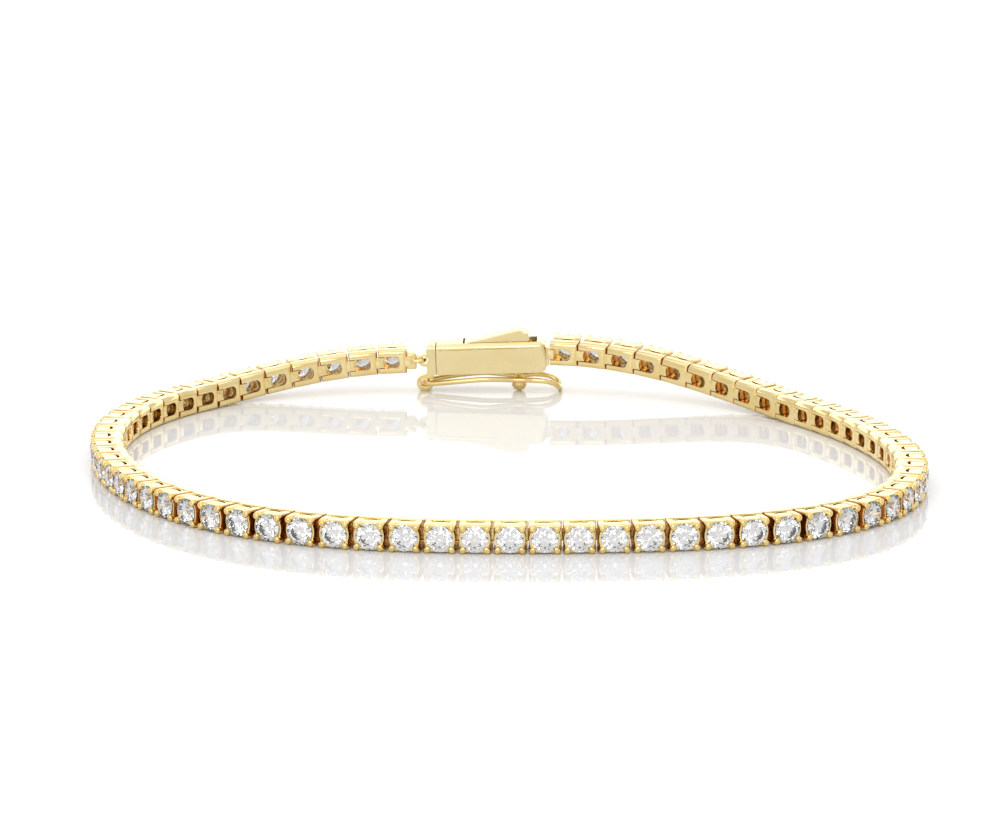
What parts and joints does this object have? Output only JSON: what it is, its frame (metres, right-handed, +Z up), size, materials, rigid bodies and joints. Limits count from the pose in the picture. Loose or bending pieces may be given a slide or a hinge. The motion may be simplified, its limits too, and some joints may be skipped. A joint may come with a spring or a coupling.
{
  "type": "tennis bracelet",
  "caption": "Slim closed bracelet of hinged claw-set round stones, lying on its side, with a box clasp, thumb lever and wire safety latch.",
  "frame": {"origin": "on the floor under the middle of the bracelet's outline as it lies on its side", "axes": "+Z up, +Y towards the clasp at the back, +X along the clasp towards its thumb lever and mouth"},
  "size_m": [0.0626, 0.0566, 0.0051],
  "materials": {
    "gold": "polished yellow gold",
    "diamond": "cut and polished clear stones"
  },
  "bodies": {
    "bracelet": {"links_right": "gold", "links_left": "gold", "clasp_box": "gold", "clasp_tongue": "gold"},
    "latch": {"safety_latch": "gold"},
    "lever": {"thumb_lever": "gold"}
  },
  "joints": [
    {"name": "latch_hinge", "type": "hinge", "parent": "bracelet", "child": "latch", "pos_m": [-0.00634, 0.02678, 0.00069], "axis": [0.0204, 0.9998, 0], "range_deg": [0, 110]},
    {"name": "lever_press", "type": "hinge", "parent": "bracelet", "child": "lever", "pos_m": [-0.0043, 0.02674, 0.00253], "axis": [0.0204, 0.9998, 0], "range_deg": [0, 5], "stiffness_Nm_per_rad": 0.05, "springref_deg": -1.15}
  ]
}
